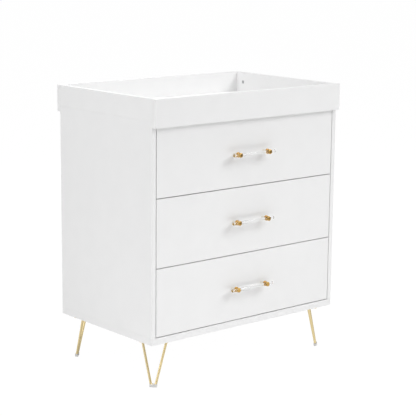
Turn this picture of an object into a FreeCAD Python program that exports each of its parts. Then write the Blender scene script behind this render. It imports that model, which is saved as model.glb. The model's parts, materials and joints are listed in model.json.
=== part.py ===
import FreeCAD, Part
import math
import os
import Sketcher

# A changing dresser: a cabinet with three inset drawers on four hairpin legs, and a changing tray
# that stands on its top and hangs over its front and rear edges.
#
# Millimetres. +X is to the right as seen from the front, the drawers open towards -Y, and +Z is up.
# The origin is on the floor, under the middle of the overall box.

DIMENSIONS = (
    # alias, value, what it measures
    ("width", 800.0, "cabinet, outside of the side boards"),
    ("depth", 493.0, "cabinet, front to rear"),
    ("leg_height", 150.5, "floor to the underside of the cabinet"),
    ("cabinet_height", 712.0, "underside to top of the cabinet"),
    ("front_y", -236.25, "plane of the drawer fronts, which puts the origin at mid depth"),
    ("board", 16.0, "thickness of the side, front and tray boards"),
    ("bottom_board", 22.0, "thickness of the bottom board"),
    ("top_board", 18.0, "thickness of the top board"),
    ("back_board", 3.0, "thickness of the back panel and the drawer bases"),
    ("back_inset", 10.0, "rear edge of the sides to the back panel"),
    ("groove", 5.0, "depth of the grooves for the thin boards"),
    ("gap", 3.0, "gap round each drawer front"),
    ("front_height", 220.0, "height of a drawer front"),
    ("box_board", 12.0, "thickness of the drawer sides and backs"),
    ("box_length", 440.0, "length of a drawer side"),
    ("box_height", 150.0, "height of a drawer side"),
    ("box_rise", 34.0, "lower edge of a drawer front to that of its sides"),
    ("base_rise", 18.0, "lower edge of a drawer side to its base board"),
    ("box_fitting_low", 35.0, "lower edge of a drawer side to its lower cam fittings"),
    ("box_fitting_high", 115.0, "lower edge of a drawer side to its upper cam fittings"),
    ("runner_space", 12.5, "space beside a drawer box for its runners"),
    ("runner_length", 450.0, "cabinet runner"),
    ("runner_start", 18.0, "drawer front plane to the cabinet runner"),
    ("runner_height", 27.4, "cabinet runner, outside"),
    ("runner_flange", 10.0, "cabinet runner flanges, outside"),
    ("sheet_steel", 1.2, "thickness of the runners"),
    ("slider_start", 3.0, "lower edge of the channel to that of the drawer runner"),
    ("slider_height", 25.0, "lower edge of the channel to the top of the drawer runner"),
    ("slider_flange", 8.8, "drawer runner flange, outside"),
    ("roller_radius", 11.0, "runner rollers"),
    ("roller_width", 6.8, "runner rollers"),
    ("roller_bore", 2.55, "radius of the rollers' bore"),
    ("roller_hub", 4.6, "radius of a roller's hub"),
    ("roller_rim", 8.6, "inner radius of a roller's rim"),
    ("roller_recess", 1.2, "depth of a roller's face between its hub and its rim"),
    ("roller_bevel", 0.6, "bevel of a roller's rim"),
    ("roller_level", 12.5, "lower edge of the channel to the roller axis"),
    ("roller_offset", 6.0, "inside of the cabinet to the middle of the rollers"),
    ("front_roller", 32.0, "drawer front plane to the cabinet roller axis"),
    ("rear_roller", 440.0, "drawer front plane to the drawer roller axis"),
    ("pin_radius", 2.5, "roller pins"),
    ("pin_shoulder", 4.0, "radius of the shoulder and head of a roller pin"),
    ("pin_clear", 0.2, "shoulder of a roller pin to its roller"),
    ("pin_play", 0.3, "roller to the head of its pin"),
    ("pin_head", 0.6, "thickness of a roller pin's head"),
    ("screw_radius", 1.75, "runner and leg screws"),
    ("screw_head", 3.5, "radius of a screw's head"),
    ("screw_length", 11.5, "runner and leg screws"),
    ("screw_front", 90.0, "drawer front plane to the front screws of the runners"),
    ("screw_middle", 250.0, "drawer front plane to the middle screws of the runners"),
    ("channel_screw_rear", 430.0, "drawer front plane to the rear screws of a cabinet runner"),
    ("angle_screw_rear", 410.0, "drawer front plane to the rear screws of a drawer runner"),
    ("handle_pitch", 128.0, "distance between the handle posts"),
    ("handle_length", 178.0, "handle bar"),
    ("handle_reach", 29.0, "drawer face to the middle of the bar"),
    ("bar_radius", 5.0, "handle bar"),
    ("bar_bevel", 0.8, "bevel of the handle bar's ends"),
    ("bar_slack", 0.05, "clearance round the bar in its posts"),
    ("post_radius", 4.2, "stem of a handle post"),
    ("post_flange", 8.8, "radius of the collar behind the bar"),
    ("post_cap", 7.6, "radius of the head that the bar runs through"),
    ("cap_front", 37.0, "drawer face to the front of a handle post"),
    ("collar_start", 18.5, "drawer face to the collar of a handle post"),
    ("collar_end", 22.5, "drawer face to the front of the collar"),
    ("collar_edge", 0.5, "bevel of the collar"),
    ("post_dome", 1.6, "bevel of a handle post's head"),
    ("bolt_radius", 2.0, "handle bolts"),
    ("bolt_grip", 9.0, "length of a handle bolt inside its post"),
    ("leg_inset", 55.0, "side and front of the cabinet to the middle of a leg plate"),
    ("leg_spread", 39.5, "middle of a leg to each rod at the plate"),
    ("leg_splay", 28.7, "outward lean of a leg's foot along the corner's diagonal"),
    ("leg_bend", 9.0, "radius of the bend at the foot"),
    ("rod_radius", 4.0, "leg rods"),
    ("plate", 3.0, "thickness of the leg plates"),
    ("plate_width", 92.0, "leg plate across the leg"),
    ("plate_depth", 60.0, "leg plate along the corner's diagonal"),
    ("plate_hole_x", 26.0, "middle of a leg plate to its screws, across the leg"),
    ("plate_hole_y", 20.0, "middle of a leg plate to its screws, along the diagonal"),
    ("cap_width", 26.0, "foot cap across the leg"),
    ("cap_depth", 12.0, "foot cap along the diagonal"),
    ("cap_height", 10.0, "foot cap"),
    ("cap_floor", 1.5, "thickness of a foot cap under the rod"),
    ("cap_corner", 5.0, "radius of a foot cap's upright edges"),
    ("cap_edge", 3.0, "radius of a foot cap's lower edge"),
    ("tray_height", 70.0, "tray above the top of the cabinet"),
    ("tray_drop", 19.0, "overhang of the tray's front and rear boards below the top"),
    ("tray_play", 0.5, "play between those boards and the cabinet"),
    ("seam", 0.4, "hairline at the ends of the tray's side boards"),
    ("seam_depth", 1.5, "depth of that hairline"),
    ("cam_radius", 7.5, "cabinet cam locks"),
    ("cam_depth", 13.0, "cabinet cam locks"),
    ("cam_reach", 24.0, "joint to the middle of a cabinet or drawer cam lock"),
    ("cam_setback", 60.0, "front and rear edges of the cabinet to its cam locks"),
    ("small_cam_radius", 6.0, "tray and drawer cam locks"),
    ("small_cam_depth", 9.0, "tray and drawer cam locks"),
    ("tray_cam_reach", 33.5, "joint to the middle of a tray cam lock"),
    ("stud_radius", 3.0, "cam bolts"),
    ("stud_grip", 9.0, "length of a cam bolt in the board that it screws into"),
    ("stud_play", 0.3, "clearance round a cam bolt"),
)

DRAWERS = ("lower", "middle", "upper")

# Planes that many pieces share, as formulas over the sheet.
HALF = "dims.width / 2"
FRONT = "dims.front_y"
REAR = "dims.front_y + dims.depth"
INSIDE = "(dims.width / 2 - dims.board)"
BOX_OUT = "(dims.width / 2 - dims.board - dims.runner_space)"
BOX_IN = "(dims.width / 2 - dims.board - dims.runner_space - dims.box_board)"
CASE_FLOOR = "(dims.leg_height + dims.bottom_board)"
CASE_TOP = "(dims.leg_height + dims.cabinet_height)"
CEILING = "(dims.leg_height + dims.cabinet_height - dims.top_board)"
BACK_PANEL = "(dims.front_y + dims.depth - dims.back_inset - dims.back_board)"
ROLLER_X = "(dims.width / 2 - dims.board - dims.roller_offset)"

TURNS = {
    "+z": FreeCAD.Rotation(),
    "-z": FreeCAD.Rotation(FreeCAD.Vector(1, 0, 0), 180),
    "+x": FreeCAD.Rotation(FreeCAD.Vector(0, 1, 0), 90),
    "-x": FreeCAD.Rotation(FreeCAD.Vector(0, 1, 0), -90),
    "+y": FreeCAD.Rotation(FreeCAD.Vector(1, 0, 0), -90),
    "-y": FreeCAD.Rotation(FreeCAD.Vector(1, 0, 0), 90),
}

doc = FreeCAD.newDocument("changing_dresser")
subparts = []


def fill_sheet():
    sheet = doc.addObject("Spreadsheet::Sheet", "dims")
    for row, (alias, value, meaning) in enumerate(DIMENSIONS, start=1):
        sheet.set(f"A{row}", meaning)
        sheet.set(f"B{row}", str(value))
        sheet.setAlias(f"B{row}", alias)
    doc.recompute()
    return sheet


def value(formula):
    """What a formula over the sheet comes to, in millimetres."""
    return float(sheet.evalExpression(formula))


def bind(obj, **formulas):
    for name, formula in formulas.items():
        obj.setExpression(name, formula)
    return obj


def place(obj, point, axis="+z"):
    """Put an object's own origin at a point, with its own Z along an axis."""
    obj.Placement = FreeCAD.Placement(FreeCAD.Vector(), TURNS[axis])
    for letter, formula in zip("xyz", point):
        obj.setExpression(f"Placement.Base.{letter}", formula)
    return obj


def shift(point, axis, distance):
    """The point that lies a distance further along an axis."""
    moved = list(point)
    index = "xyz".index(axis[1])
    moved[index] = f"{point[index]} {axis[0]} ({distance})"
    return tuple(moved)


def board(name, low, size):
    box = doc.addObject("Part::Box", name)
    bind(box, Length=size[0], Width=size[1], Height=size[2])
    return place(box, low)


def rod(name, point, axis, radius, length):
    cylinder = doc.addObject("Part::Cylinder", name)
    bind(cylinder, Radius=radius, Height=length)
    return place(cylinder, point, axis)


def fuse(name, shapes):
    fused = doc.addObject("Part::MultiFuse", name)
    fused.Shapes = shapes
    return fused


def cut(name, base, tools):
    removed = doc.addObject("Part::Cut", name)
    removed.Base = base
    removed.Tool = tools[0] if len(tools) == 1 else fuse(name + "_tools", tools)
    return removed


def group(name, shapes):
    together = doc.addObject("Part::Compound", name)
    together.Links = shapes
    return together


def mirror(shape):
    """The same piece on the other side of the middle plane."""
    copy = doc.addObject("Part::Mirroring", shape.Name + "_mirrored")
    copy.Source = shape
    copy.Normal = FreeCAD.Vector(1, 0, 0)
    return copy


def both(shapes):
    return shapes + [mirror(shape) for shape in shapes]


def copied(name, source, point, axis="+z"):
    return place(group(name, [source]), point, axis)


def subpart(label, shape):
    """Hand a finished piece in under the name of its node."""
    shape.Label = label
    subparts.append((label, shape))
    return shape


def new_sketch(body, role):
    plane = next(f for f in body.Origin.OriginFeatures if f.Role == role)
    drawn = body.newObject("Sketcher::SketchObject", body.Name + "_sketch")
    drawn.AttachmentSupport = (plane, "")
    drawn.MapMode = "FlatFace"
    return drawn


def pin_down(drawn, edge, end, point, tag):
    """Hold one end or centre of an edge at a pair of formulas from the sketch's origin."""
    for kind, formula in zip(("DistanceX", "DistanceY"), point):
        index = drawn.addConstraint(Sketcher.Constraint(kind, -1, 1, edge, end, value(formula)))
        drawn.renameConstraint(index, kind + tag)
        drawn.setExpression(f"Constraints.{kind}{tag}", formula)


def outline(body, role, corners):
    """A closed straight-sided outline whose corners are pairs of formulas."""
    drawn = new_sketch(body, role)
    points = [FreeCAD.Vector(value(u), value(v), 0) for u, v in corners]
    for start, end in zip(points, points[1:] + points[:1]):
        drawn.addGeometry(Part.LineSegment(start, end))
    for edge in range(len(corners)):
        drawn.addConstraint(Sketcher.Constraint("Coincident", edge, 2, (edge + 1) % len(corners), 1))
    for edge, corner in enumerate(corners):
        pin_down(drawn, edge, 1, corner, f"_{edge}")
    return drawn


def circle(body, role, centre, radius):
    drawn = new_sketch(body, role)
    middle = FreeCAD.Vector(value(centre[0]), value(centre[1]), 0)
    drawn.addGeometry(Part.Circle(middle, FreeCAD.Vector(0, 0, 1), value(radius)))
    pin_down(drawn, 0, 3, centre, "_centre")
    index = drawn.addConstraint(Sketcher.Constraint("Radius", 0, value(radius)))
    drawn.renameConstraint(index, "radius")
    drawn.setExpression("Constraints.radius", radius)
    return drawn


def extruded(name, corners, length, point):
    """A profile in the XZ plane, drawn out towards +Y."""
    body = doc.addObject("PartDesign::Body", name)
    pad = body.newObject("PartDesign::Pad", name + "_pad")
    pad.Profile = outline(body, "XZ_Plane", corners)
    pad.Reversed = True
    pad.setExpression("Length", length)
    body.Tip = pad
    return place(body, point)


def turned(name, corners, axis_name, point=("0", "0", "0")):
    """A profile in the XY plane, turned about the sketch's H_Axis (X) or V_Axis (Y)."""
    body = doc.addObject("PartDesign::Body", name)
    drawn = outline(body, "XY_Plane", corners)
    revolution = body.newObject("PartDesign::Revolution", name + "_turned")
    revolution.Profile = drawn
    revolution.ReferenceAxis = (drawn, [axis_name])
    revolution.Angle = 360
    body.Tip = revolution
    return place(body, point)


def cam_fitting(name, joint, into, reach, face, half_thickness, size):
    """A cam lock and the bolt that it draws in.

    joint is the point where the bolt crosses from one board into the other, into is the way it
    then runs, and the lock is let in along face, from half_thickness short of the bolt's axis.
    """
    radius, depth = size
    centre = shift(joint, into, reach)
    disc = rod(name + "_disc", shift(centre, face, f"-({half_thickness})"), face, radius, depth)
    passage = rod(name + "_passage", joint, into, "dims.stud_radius + dims.stud_play", reach)
    back = {"+": "-", "-": "+"}[into[0]] + into[1]
    bolt = rod(name + "_bolt", shift(joint, back, "dims.stud_grip"), into, "dims.stud_radius",
               f"dims.stud_grip + {reach} - 1")
    lock = cut(name + "_lock", disc, [passage])
    return {"pieces": [lock, bolt], "lock_side": [disc, passage], "bolt_side": [bolt]}


def gather(fittings, key):
    return [shape for fitting in fittings for shape in fitting[key]]


def make_screw():
    """A countersunk screw: its head's face at the origin, its point up +Z."""
    head = doc.addObject("Part::Cone", "screw_head")
    bind(head, Radius1="dims.screw_head", Radius2="dims.screw_radius",
         Height="dims.screw_head - dims.screw_radius")
    shank = rod("screw_shank", ("0", "0", "0"), "+z", "dims.screw_radius",
                "dims.screw_length - dims.screw_radius * 2")
    point = doc.addObject("Part::Cone", "screw_point")
    bind(point, Radius1="dims.screw_radius", Height="dims.screw_radius * 2")
    point.Radius2 = 0
    place(point, ("0", "0", "dims.screw_length - dims.screw_radius * 2"))
    return fuse("screw", [head, shank, point])


def drawer_floor(level):
    """Height of a drawer front's lower edge, as a formula."""
    return f"({CASE_FLOOR} + dims.gap + {level} * (dims.front_height + dims.gap))"


def box_floor(level):
    return f"({drawer_floor(level)} + dims.box_rise)"


def make_cabinet_boards(side_screws, leg_screws):
    """Side, top, bottom and back boards, and the cam fittings between them."""
    to_top, to_bottom = [], []
    for edge in (f"{FRONT} + dims.cam_setback", f"{REAR} - dims.cam_setback"):
        top_joint = (INSIDE, edge, f"({CASE_TOP} - dims.top_board / 2)")
        to_top.append(cam_fitting("top_fitting", top_joint, "-x", "dims.cam_reach", "+z",
                                  "dims.top_board / 2", ("dims.cam_radius", "dims.cam_depth")))
        foot_joint = (f"({HALF} - dims.board / 2)", edge, CASE_FLOOR)
        to_bottom.append(cam_fitting("foot_fitting", foot_joint, "+z", "dims.cam_reach", "+x",
                                     "dims.board / 2", ("dims.cam_radius", "dims.cam_depth")))

    side = board("side", (INSIDE, FRONT, CASE_FLOOR),
                 ("dims.board", "dims.depth", "dims.cabinet_height - dims.bottom_board"))
    slot = board("side_groove", (INSIDE, BACK_PANEL, CASE_FLOOR),
                 ("dims.groove", "dims.back_board", "dims.cabinet_height - dims.bottom_board"))
    side_tools = [slot] + gather(to_bottom, "lock_side") + gather(to_top, "bolt_side")
    right = cut("side_right", side, side_tools + [side_screws])
    subpart("side_panel_right", right)
    subpart("side_panel_left", mirror(right))

    top = board("top", (f"-{INSIDE}", FRONT, CEILING),
                (f"2 * {INSIDE}", "dims.depth", "dims.top_board"))
    top_slot = board("top_groove", (f"-{INSIDE}", BACK_PANEL, CEILING),
                     (f"2 * {INSIDE}", "dims.back_board", "dims.groove"))
    subpart("top_panel", cut("top_cut", top, [top_slot] + both(gather(to_top, "lock_side"))))

    bottom = board("bottom", (f"-{HALF}", FRONT, "dims.leg_height"),
                   ("dims.width", "dims.depth", "dims.bottom_board"))
    groove_corner = (f"-{INSIDE} - dims.groove", BACK_PANEL, f"{CASE_FLOOR} - dims.groove")
    bottom_slot = board("bottom_groove", groove_corner,
                        (f"2 * ({INSIDE} + dims.groove)", "dims.back_board", "dims.groove"))
    bottom_tools = [bottom_slot] + both(gather(to_bottom, "bolt_side")) + leg_screws
    subpart("bottom_panel", cut("bottom_cut", bottom, bottom_tools))

    back = board("back", groove_corner,
                 (f"2 * ({INSIDE} + dims.groove)", "dims.back_board",
                  f"{CEILING} - {CASE_FLOOR} + 2 * dims.groove"))
    subpart("back_panel", back)
    fittings = both(gather(to_top + to_bottom, "pieces"))
    subpart("cabinet_cam_fittings", group("cabinet_fittings", fittings))


def make_leg_screws(screw):
    """Four screws in the leg's own frame: origin at the cabinet's underside, +Y outward."""
    screws = []
    for x in ("dims.plate_hole_x", "-dims.plate_hole_x"):
        for y in ("dims.plate_hole_y", "-dims.plate_hole_y"):
            screws.append(copied("leg_screw", screw, (x, y, "-dims.plate")))
    return screws


def make_hairpin():
    """A rod bent to a V, hanging from the plate's underside and leaning out towards +Y."""
    spread, bend = value("dims.leg_spread"), value("dims.leg_bend")
    drop = value("dims.leg_height - dims.plate - dims.cap_floor - dims.rod_radius")
    length = math.hypot(drop, value("dims.leg_splay"))
    centre = length - bend
    half_angle = math.degrees(math.atan2(spread, centre) - math.asin(bend / math.hypot(spread, centre)))
    run = math.sqrt(spread ** 2 + centre ** 2 - bend ** 2)
    rods = []
    for sign in (1, -1):
        straight = doc.addObject("Part::Cylinder", "leg_rod")
        bind(straight, Radius="dims.rod_radius")
        straight.Height = run
        turn = FreeCAD.Rotation(FreeCAD.Vector(0, 1, 0), 180 + sign * half_angle)
        straight.Placement = FreeCAD.Placement(FreeCAD.Vector(sign * spread, 0, 0), turn)
        rods.append(straight)
    foot = doc.addObject("Part::Torus", "leg_foot")
    bind(foot, Radius1="dims.leg_bend", Radius2="dims.rod_radius")
    foot.Angle3 = 180 - 2 * half_angle
    upright = FreeCAD.Rotation(FreeCAD.Vector(1, 0, 0), 90)
    start = FreeCAD.Rotation(FreeCAD.Vector(0, 0, 1), 180 + half_angle)
    foot.Placement = FreeCAD.Placement(FreeCAD.Vector(0, 0, -centre), upright.multiply(start))
    hairpin = fuse("hairpin", rods + [foot])
    lean = math.degrees(math.atan2(value("dims.leg_splay"), drop))
    hairpin.Placement = FreeCAD.Placement(FreeCAD.Vector(0, 0, -value("dims.plate")),
                                          FreeCAD.Rotation(FreeCAD.Vector(1, 0, 0), lean))
    return hairpin


def rounded(name, base, radius, wanted):
    """Round those edges of an object that a test picks out."""
    doc.recompute()
    soft = doc.addObject("Part::Fillet", name)
    soft.Base = base
    size = value(radius)
    chosen = [i for i, edge in enumerate(base.Shape.Edges, start=1) if wanted(edge)]
    soft.Edges = [(i, size, size) for i in chosen]
    return soft


def make_foot_cap(hairpin):
    """A clear plastic cap, cast round the bend."""
    corner = ("-dims.cap_width / 2", "dims.leg_splay - dims.cap_depth / 2", "-dims.leg_height")
    block = board("cap_block", corner, ("dims.cap_width", "dims.cap_depth", "dims.cap_height"))
    floor = -value("dims.leg_height")
    slim = rounded("cap_sides", block, "dims.cap_corner",
                   lambda edge: abs(edge.tangentAt(edge.FirstParameter).z) > 0.99)
    soft = rounded("cap_round", slim, "dims.cap_edge",
                   lambda edge: abs(edge.BoundBox.ZMax - floor) < 0.01)
    return cut("cap", soft, [hairpin])


def make_legs(screw):
    """Four legs in their corners; returns the screws, which the bottom board is drilled for."""
    local_screws = make_leg_screws(screw)
    hairpin = make_hairpin()
    cap = make_foot_cap(hairpin)
    blank = board("leg_plate", ("-dims.plate_width / 2", "-dims.plate_depth / 2", "-dims.plate"),
                  ("dims.plate_width", "dims.plate_depth", "dims.plate"))
    drilled = cut("leg_plate_drilled", blank, [group("plate_screws", local_screws)])
    rear = REAR + " - dims.leg_inset"
    front = FRONT + " + dims.leg_inset"
    side = f"{HALF} - dims.leg_inset"
    corners = (("front_left", f"-({side})", front, 135), ("front_right", side, front, 225),
               ("rear_left", f"-({side})", rear, 45), ("rear_right", side, rear, 315))
    caps, screws = [], []
    for name, x, y, turn in corners:
        spin = FreeCAD.Rotation(FreeCAD.Vector(0, 0, 1), turn)
        pieces = [fuse("leg", [drilled, hairpin]), group("leg_cap", [cap]),
                  group("corner_screws", local_screws)]
        for piece in pieces:
            place(piece, (x, y, "dims.leg_height"))
            piece.Placement = FreeCAD.Placement(piece.Placement.Base, spin)
        subpart("leg_" + name, pieces[0])
        caps.append(pieces[1])
        screws.append(pieces[2])
    subpart("foot_caps", group("caps", caps))
    subpart("leg_screws", group("all_leg_screws", screws))
    return screws


def roller(name, point):
    """A runner roller with a raised hub and rim, turning about X."""
    half, hub, rim = "dims.roller_width / 2", "dims.roller_hub", "dims.roller_rim"
    sunk = f"{half} - dims.roller_recess"
    right = [(half, "dims.roller_bore"), (half, hub), (sunk, hub), (sunk, rim), (half, rim),
             (half, "dims.roller_radius - dims.roller_bevel"),
             (f"{half} - dims.roller_bevel", "dims.roller_radius")]
    left = [(f"-({x})", r) for x, r in reversed(right)]
    return turned(name, right + left, "H_Axis", point)


def roller_pin(name, web, axis, y, z):
    """A riveted pin: shoulder, shaft and head, standing on a runner's web along an axis."""
    near = f"(abs({ROLLER_X} - ({web})) - dims.roller_width / 2 - dims.pin_clear)"
    reach = f"({near} + dims.pin_clear + dims.roller_width + dims.pin_play)"
    shoulder = rod(name + "_shoulder", (web, y, z), axis, "dims.pin_shoulder", near)
    shaft = rod(name + "_shaft", (web, y, z), axis, "dims.pin_radius", reach)
    tip = shift((web, y, z), axis, reach)
    return [shoulder, shaft, rod(name + "_head", tip, axis, "dims.pin_shoulder", "dims.pin_head")]


def runner_screws(name, screw, web, rear, level, axis):
    """A runner's three screws, along its web."""
    places = (f"({FRONT} + {y})" for y in ("dims.screw_front", "dims.screw_middle", rear))
    return [copied(name, screw, (web, y, level), axis) for y in places]


def make_cabinet_runner(level, screw):
    """The right-hand channel of one drawer, its roller and its screws."""
    steel, flange, height = "dims.sheet_steel", "dims.runner_flange", "dims.runner_height"
    floor = box_floor(level)
    channel = extruded("channel", [
        ("0", "0"), ("0", height), (f"-{flange}", height), (f"-{flange}", f"{height} - {steel}"),
        (f"-{steel}", f"{height} - {steel}"), (f"-{steel}", steel),
        (f"-{flange}", steel), (f"-{flange}", "0"),
    ], "dims.runner_length", (INSIDE, f"{FRONT} + dims.runner_start", floor))
    web = f"({INSIDE} - {steel})"
    axle = (f"({FRONT} + dims.front_roller)", f"({floor} + dims.roller_level)")
    solid = fuse("channel_riveted", [channel] + roller_pin("channel_pin", web, "-x", *axle))
    screws = runner_screws("channel_screw", screw, web, "dims.channel_screw_rear", axle[1], "+x")
    drilled = cut("channel_drilled", solid, [group("channel_screws", screws)])
    return drilled, roller("cabinet_roller", (ROLLER_X,) + axle), screws


def make_drawer_runner(level, screw):
    """The right-hand angle of one drawer, its roller and its screws."""
    steel, flange = "dims.sheet_steel", "dims.slider_flange"
    low, high = "dims.slider_start", "dims.slider_height"
    floor = box_floor(level)
    angle = extruded("angle", [
        ("0", low), (steel, low), (steel, f"{high} - {steel}"), (flange, f"{high} - {steel}"),
        (flange, high), ("0", high),
    ], "dims.box_length", (BOX_OUT, f"{FRONT} + dims.board", floor))
    web = f"({BOX_OUT} + {steel})"
    axle = (f"({FRONT} + dims.rear_roller)", f"({floor} + dims.roller_level)")
    solid = fuse("angle_riveted", [angle] + roller_pin("angle_pin", web, "+x", *axle))
    screws = runner_screws("angle_screw", screw, web, "dims.angle_screw_rear", axle[1], "-x")
    drilled = cut("angle_drilled", solid, [group("angle_screws", screws)])
    return drilled, roller("drawer_roller", (ROLLER_X,) + axle), screws


def make_handle(prefix, level):
    """A bar through the heads of two posts, and the bolts that hold them; returns the bolts."""
    middle = f"({drawer_floor(level)} + dims.front_height / 2)"
    end, full = "dims.handle_length / 2", "dims.bar_radius"
    slim, short = f"{full} - dims.bar_bevel", f"{end} - dims.bar_bevel"
    bar = turned("bar", [(f"-({end})", "0"), (f"-({end})", slim), (f"-({short})", full),
                         (short, full), (end, slim), (end, "0")],
                 "H_Axis", ("0", f"({FRONT} - dims.handle_reach)", middle))
    subpart(prefix + "_handle_bar", bar)

    bolt, stem = "dims.bolt_radius", "dims.post_radius"
    collar, head = "dims.post_flange", "dims.post_cap"
    start, end, tip = "-dims.collar_start", "-dims.collar_end", "-dims.cap_front"
    slim = f"{collar} - dims.collar_edge"
    post = turned("post", [
        ("0", "-dims.bolt_grip"), (bolt, "-dims.bolt_grip"), (bolt, "0"), (stem, "0"), (stem, start),
        (slim, start), (collar, f"{start} - dims.collar_edge"), (collar, f"{end} + dims.collar_edge"),
        (slim, end), (head, end), (head, f"{tip} + dims.post_dome"), (f"{head} - dims.post_dome", tip),
        ("0", tip),
    ], "V_Axis")
    bore = post.newObject("PartDesign::Pocket", "post_bore")
    bore.Profile = circle(post, "YZ_Plane", ("-dims.handle_reach", "0"), f"{full} + dims.bar_slack")
    bore.Type = "ThroughAll"
    bore.Midplane = True
    post.Tip = bore
    place(post, ("dims.handle_pitch / 2", FRONT, middle))
    subpart(prefix + "_handle_posts", group("posts", both([post])))

    point = ("dims.handle_pitch / 2", f"({FRONT} + dims.board)", middle)
    shank = rod("bolt_shank", point, "-y", "dims.bolt_radius", "dims.board + dims.bolt_grip")
    head = rod("bolt_head", point, "+y", "dims.bolt_radius * 2", "dims.bolt_radius * 1.2")
    bolts = both([fuse("handle_bolt", [shank, head])])
    subpart(prefix + "_handle_bolts", group("handle_bolts", bolts))
    return bolts


def make_drawer(level, prefix, screw):
    """One drawer: front, box, handle, runners and rollers; returns the cabinet runner's screws."""
    floor, box = drawer_floor(level), box_floor(level)
    behind = f"({FRONT} + dims.board)"
    tail = f"({FRONT} + dims.board + dims.box_length - dims.box_board)"
    thin = "dims.box_board"
    small = ("dims.small_cam_radius", "dims.small_cam_depth")
    to_front, to_back = [], []
    for height in ("dims.box_fitting_low", "dims.box_fitting_high"):
        z = f"({box} + {height})"
        to_front.append(cam_fitting("front_fitting", (f"({BOX_IN} + {thin} / 2)", behind, z), "+y",
                                    "dims.cam_reach", "+x", f"{thin} / 2", small))
        to_back.append(cam_fitting("back_fitting", (BOX_IN, f"({tail} + {thin} / 2)", z), "-x",
                                   "dims.cam_reach", "-y", f"{thin} / 2", small))

    base_z = f"({box} + dims.base_rise)"
    base = board("base", (f"-{BOX_IN} - dims.groove", f"{behind} - dims.groove", base_z),
                 (f"2 * ({BOX_IN} + dims.groove)", f"{tail} - {behind} + 2 * dims.groove",
                  "dims.back_board"))
    subpart(prefix + "_drawer_base", base)

    bolts = make_handle(prefix, level)
    front = board("front", (f"-({HALF} - dims.board - dims.gap)", FRONT, floor),
                  (f"2 * ({HALF} - dims.board - dims.gap)", "dims.board", "dims.front_height"))
    subpart(prefix + "_drawer_front",
            cut("front_cut", front, [base] + both(gather(to_front, "bolt_side")) + bolts))

    angle, drawer_roller, screws = make_drawer_runner(level, screw)
    side = board("box_side", (BOX_IN, behind, box), (thin, "dims.box_length", "dims.box_height"))
    fitting_tools = gather(to_front, "lock_side") + gather(to_back, "bolt_side")
    right = cut("box_side_cut", side, [base] + fitting_tools + screws)
    subpart(prefix + "_drawer_side_right", right)
    subpart(prefix + "_drawer_side_left", mirror(right))

    back = board("box_back", (f"-{BOX_IN}", tail, box), (f"2 * {BOX_IN}", thin, "dims.box_height"))
    back_tools = [base] + both(gather(to_back, "lock_side"))
    subpart(prefix + "_drawer_back", cut("box_back_cut", back, back_tools))
    fittings = both(gather(to_front + to_back, "pieces"))
    subpart(prefix + "_drawer_cam_fittings", group("box_fittings", fittings))
    subpart(prefix + "_drawer_runners", group("angles", both([angle])))
    subpart(prefix + "_drawer_screws", group("angle_screws", both(screws)))
    subpart(prefix + "_drawer_rollers", group("drawer_rollers", both([drawer_roller])))

    channel, cabinet_roller, cabinet_screws = make_cabinet_runner(level, screw)
    subpart(prefix + "_cabinet_runners", group("channels", both([channel])))
    subpart(prefix + "_cabinet_rollers", group("cabinet_rollers", both([cabinet_roller])))
    return cabinet_screws


def make_tray():
    """An open frame of four boards that stands on the cabinet's top."""
    front_face, rear_face = f"({FRONT} - dims.tray_play)", f"({REAR} + dims.tray_play)"
    small = ("dims.small_cam_radius", "dims.small_cam_depth")
    x, z = f"({HALF} - dims.board / 2)", f"({CASE_TOP} + dims.tray_height / 2)"
    fittings = {}
    for end, joint_y, into in (("front", front_face, "+y"), ("rear", rear_face, "-y")):
        fittings[end] = cam_fitting("tray_fitting", (x, joint_y, z), into, "dims.tray_cam_reach", "+x",
                                    "dims.board / 2", small)
    both_ends = list(fittings.values())

    side = board("tray_side", (INSIDE, front_face, CASE_TOP),
                 ("dims.board", f"{rear_face} - {front_face}", "dims.tray_height"))
    seams = [board("tray_seam", (f"({HALF} - dims.seam_depth)", y, CASE_TOP),
                   ("dims.seam_depth", "dims.seam", "dims.tray_height"))
             for y in (front_face, f"({rear_face} - dims.seam)")]
    right = cut("tray_side_cut", side, seams + gather(both_ends, "lock_side"))
    subpart("tray_side_right", right)
    subpart("tray_side_left", mirror(right))
    for end, y in (("front", f"{front_face} - dims.board"), ("rear", rear_face)):
        plank = board("plank", (f"-{HALF}", y, f"{CASE_TOP} - dims.tray_drop"),
                      ("dims.width", "dims.board", "dims.tray_height + dims.tray_drop"))
        subpart("tray_" + end, cut("tray_end_cut", plank, both(gather([fittings[end]], "bolt_side"))))
    subpart("tray_cam_fittings", group("tray_fittings", both(gather(both_ends, "pieces"))))


def check_document():
    for obj in doc.Objects:
        if "Invalid" in obj.State or "Error" in obj.State:
            raise RuntimeError(f"{obj.Name} did not compute")
    for label, shape in subparts:
        if shape.Label != label:
            raise RuntimeError(f"{label} is named twice")
        if shape.Shape.isNull() or not shape.Shape.isValid() or not shape.Shape.Solids:
            raise RuntimeError(f"{label} has no valid solid")


def main():
    screw = make_screw()
    leg_screws = make_legs(screw)
    side_screws = []
    for level, prefix in enumerate(DRAWERS):
        side_screws += make_drawer(level, prefix, screw)
    subpart("cabinet_runner_screws", group("side_screws", both(side_screws)))
    make_cabinet_boards(group("right_side_screws", side_screws), leg_screws)
    make_tray()

    doc.recompute()
    check_document()
    os.makedirs("parts", exist_ok=True)
    for label, shape in subparts:
        shape.Shape.exportStep(f"parts/{label}.step")
    print(len(subparts), "sub-parts,", sum(len(shape.Shape.Solids) for _, shape in subparts), "solids")


sheet = fill_sheet()
main()
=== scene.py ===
import json
import math

import bmesh
import bpy
from bpy.props import FloatProperty, FloatVectorProperty, PointerProperty
from mathutils import Matrix, Vector


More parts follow.
